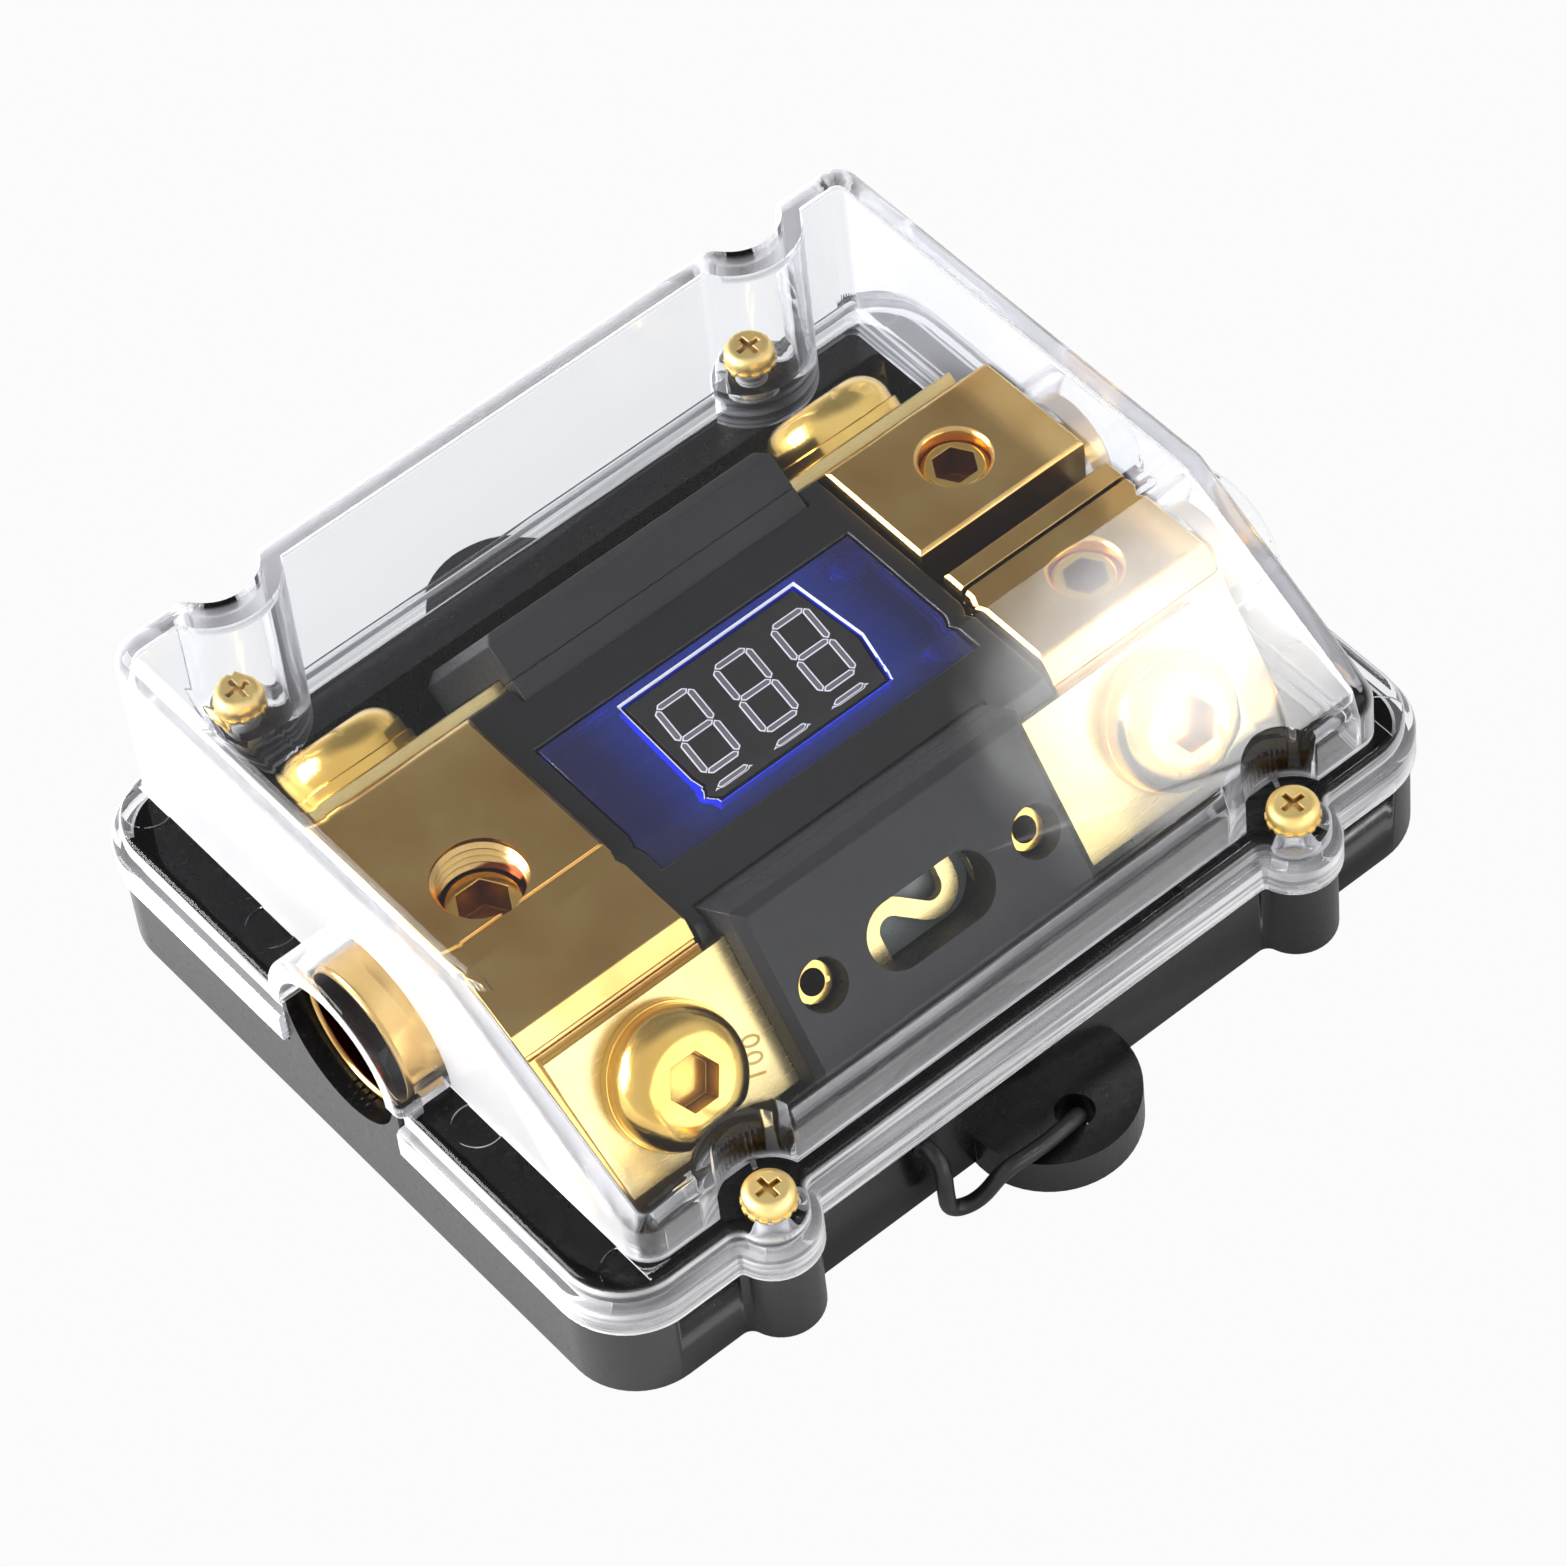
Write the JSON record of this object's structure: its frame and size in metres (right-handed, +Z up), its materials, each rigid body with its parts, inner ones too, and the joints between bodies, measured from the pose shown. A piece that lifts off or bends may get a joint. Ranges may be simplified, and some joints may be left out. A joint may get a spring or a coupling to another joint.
{
  "type": "fuse box",
  "caption": "Twin bolt-down fuse box under a clear screwed cover, brass cable blocks at each end and a small blue-framed voltage display between them.",
  "frame": {"origin": "middle of the tray's underside", "axes": "+X from the heavy cable's entry to the two lighter cables' entries, +Y to the rear wall where the cover is high, +Z up"},
  "size_m": [0.105, 0.1014, 0.038],
  "materials": {
    "black_plastic": "glossy moulded",
    "clear_plastic": "clear moulded",
    "gold_brass": "gold plated",
    "gold_steel": "gold plated steel",
    "zinc_steel": "zinc plated",
    "fuse_plastic": "matte moulded",
    "grey_pane": "clear sheet",
    "board": "solder mask",
    "module_plastic": "satin face",
    "blue_lens": "tinted translucent",
    "black_rubber": "smooth"
  },
  "bodies": {
    "tray": {"base": "black_plastic", "input_block": "gold_brass", "output_block_rear": "gold_brass", "output_block_front": "gold_brass", "fuse_front_element": "gold_brass", "fuse_front_shell_outer": "fuse_plastic", "fuse_front_shell_inner": "fuse_plastic", "fuse_front_pane": "grey_pane", "fuse_front_eyelets": "gold_brass", "fuse_rear_element": "gold_brass", "fuse_rear_shell_outer": "fuse_plastic", "fuse_rear_shell_inner": "fuse_plastic", "fuse_rear_pane": "grey_pane", "fuse_rear_eyelets": "gold_brass", "fuse_bolts": "gold_steel", "bolt_washers": "gold_steel", "centre_housing": "black_plastic", "display_board": "board", "display_module": "module_plastic", "display_lens": "blue_lens", "display_screws": "zinc_steel", "block_screws": "zinc_steel", "lead_gland": "black_rubber", "ground_lead": "black_rubber"},
    "cover_with_screws": {"cover_rim_middle": "clear_plastic", "cover_rim_left": "clear_plastic", "cover_rim_right": "clear_plastic", "cover_wall_left": "clear_plastic", "cover_wall_right": "clear_plastic", "cover_wall_front": "clear_plastic", "cover_wall_rear": "clear_plastic", "cover_roof": "clear_plastic", "cover_screws": "gold_steel", "cover_washers": "gold_steel"},
    "input_screw": {"input_set_screw": "gold_steel"},
    "rear_output_screw": {"output_set_screw_rear": "gold_steel"},
    "front_output_screw": {"output_set_screw_front": "gold_steel"}
  },
  "joints": [
    {"name": "cover_lift", "type": "slide", "parent": "tray", "child": "cover_with_screws", "axis": [0, 0, 1], "range_m": [0, 0.045]},
    {"name": "input_screw_travel", "type": "slide", "parent": "tray", "child": "input_screw", "axis": [0, 0, 1], "range_m": [-0.0013, 0.008]},
    {"name": "rear_output_screw_travel", "type": "slide", "parent": "tray", "child": "rear_output_screw", "axis": [0, 0, 1], "range_m": [-0.0033, 0.0045]},
    {"name": "front_output_screw_travel", "type": "slide", "parent": "tray", "child": "front_output_screw", "axis": [0, 0, 1], "range_m": [-0.0033, 0.0045]}
  ]
}
